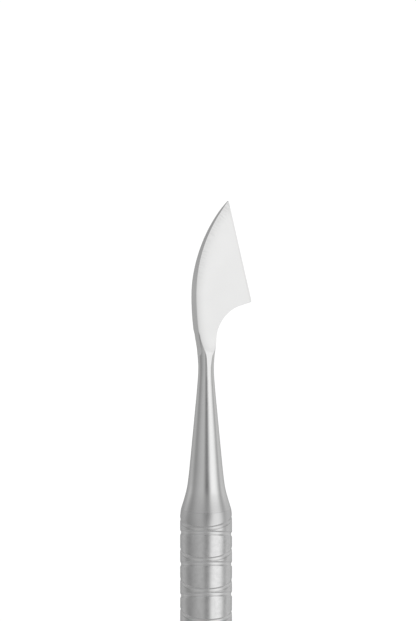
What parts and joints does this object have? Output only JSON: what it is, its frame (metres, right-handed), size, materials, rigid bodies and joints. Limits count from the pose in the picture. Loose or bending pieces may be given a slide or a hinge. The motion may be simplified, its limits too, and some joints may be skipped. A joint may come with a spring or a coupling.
{
  "type": "cuticle pusher",
  "caption": "Slim double-ended steel nail tool with a hatchet-shaped blade, tapered round necks, a grooved tubular handle and a cupped pusher tip.",
  "frame": {"origin": "middle of the grip, on the handle's axis", "axes": "+Z along the handle towards the blade, +X towards the blade's cutting edge, -Y out of the blade's front face"},
  "size_m": [0.0101, 0.007, 0.1374],
  "materials": {
    "satin_steel": "fine satin, as left by tumbling",
    "polished_steel": "ground and polished to a soft shine",
    "silver_braze": "dull silver brazing alloy, hidden inside the joint"
  },
  "bodies": {
    "root": {"handle_tube": "satin_steel", "blade_end": "polished_steel", "pusher_end": "polished_steel", "blade_braze_ring": "silver_braze", "pusher_braze_ring": "silver_braze"}
  },
  "joints": []
}
